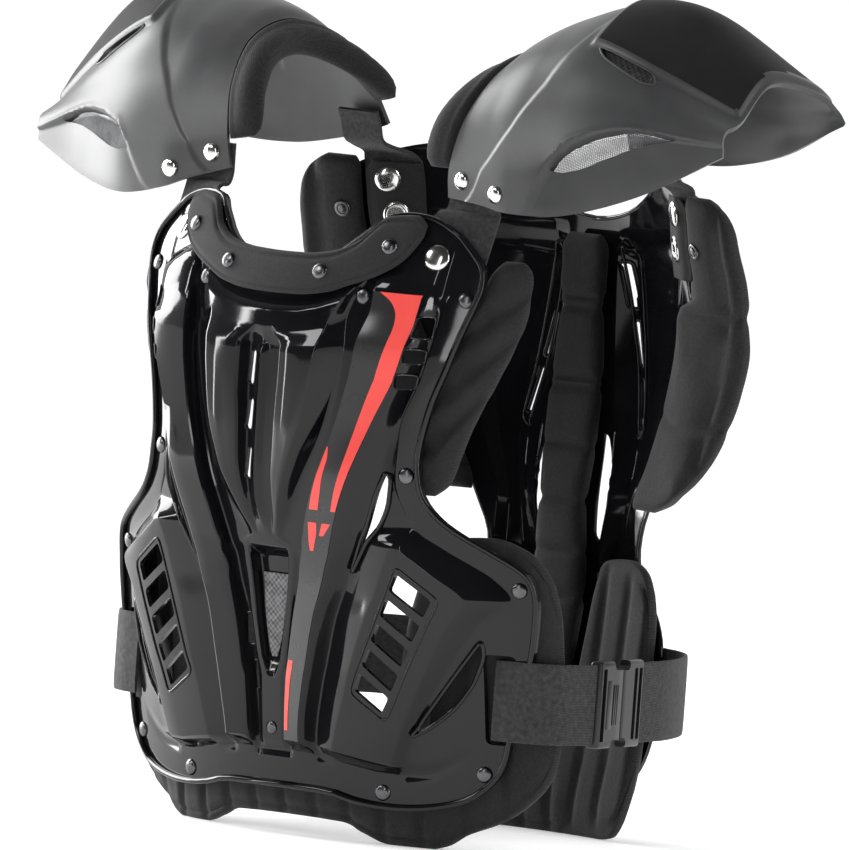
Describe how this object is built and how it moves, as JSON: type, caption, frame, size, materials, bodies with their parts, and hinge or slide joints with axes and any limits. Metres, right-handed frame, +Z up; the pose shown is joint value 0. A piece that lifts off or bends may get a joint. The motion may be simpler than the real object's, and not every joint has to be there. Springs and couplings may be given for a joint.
{
  "type": "chest protector",
  "caption": "Moulded body armour vest with front and back shells, foam pads, shoulder cups and buckled side straps, standing on its own lower edges.",
  "frame": {"origin": "centre of the footprint's bounding box on the surface that the protector stands on", "axes": "+Z up, the chest faces -Y, the wearer's left is +X"},
  "size_m": [0.5547, 0.3268, 0.5314],
  "materials": {
    "shell_gloss": "moulded glossy black",
    "cup_satin": "satin dark grey",
    "lining_mesh": "open knitted mesh",
    "webbing_black": "woven elastic webbing",
    "buckle_black": "moulded black",
    "rivet_nickel": "polished nickel",
    "rivet_gunmetal": "dark plated steel",
    "pad_black": "matte knit over foam"
  },
  "bodies": {
    "root": {"back_pad_left": "pad_black", "back_pad_right": "pad_black", "back_shell": "shell_gloss", "back_tab_left": "pad_black", "back_tab_right": "pad_black", "buckle_prong_left": "buckle_black", "buckle_prong_right": "buckle_black", "buckle_socket_left": "buckle_black", "buckle_socket_right": "buckle_black", "collar_pad": "pad_black", "eyelet_left": "rivet_nickel", "eyelet_right": "rivet_nickel", "front_pad_lower": "pad_black", "front_pad_upper_left": "pad_black", "front_pad_upper_right": "pad_black", "front_shell": "shell_gloss", "lumbar_pad": "pad_black", "rivet_armhole_left": "rivet_gunmetal", "rivet_armhole_right": "rivet_gunmetal", "rivet_back_pad_left": "rivet_gunmetal", "rivet_back_pad_right": "rivet_gunmetal", "rivet_band_left": "rivet_gunmetal", "rivet_band_right": "rivet_gunmetal", "rivet_centre": "rivet_gunmetal", "rivet_collar_inner_left": "rivet_gunmetal", "rivet_collar_inner_right": "rivet_gunmetal", "rivet_collar_outer_left": "rivet_gunmetal", "rivet_collar_outer_right": "rivet_gunmetal", "rivet_corner_left": "rivet_gunmetal", "rivet_corner_right": "rivet_gunmetal", "rivet_cup_inner_left": "rivet_nickel", "rivet_cup_inner_right": "rivet_nickel", "rivet_cup_outer_left": "rivet_nickel", "rivet_cup_outer_right": "rivet_nickel", "rivet_flange_left": "rivet_gunmetal", "rivet_flange_right": "rivet_gunmetal", "rivet_hip_left": "rivet_gunmetal", "rivet_hip_right": "rivet_gunmetal", "rivet_neck_left": "rivet_gunmetal", "rivet_neck_right": "rivet_gunmetal", "rivet_shoulder_left": "rivet_nickel", "rivet_shoulder_right": "rivet_nickel", "rivet_tab_left": "rivet_nickel", "rivet_tab_right": "rivet_nickel", "shoulder_cup_left": "cup_satin", "shoulder_cup_right": "cup_satin", "shoulder_lining_left": "lining_mesh", "shoulder_lining_right": "lining_mesh", "shoulder_pad_left": "pad_black", "shoulder_pad_right": "pad_black", "shoulder_strap_front_left": "webbing_black", "shoulder_strap_front_right": "webbing_black", "shoulder_strap_rear_left": "webbing_black", "shoulder_strap_rear_right": "webbing_black", "side_strap_front_left": "webbing_black", "side_strap_front_right": "webbing_black", "side_strap_rear_left": "webbing_black", "side_strap_rear_right": "webbing_black", "spine_pad": "pad_black"}
  },
  "joints": []
}
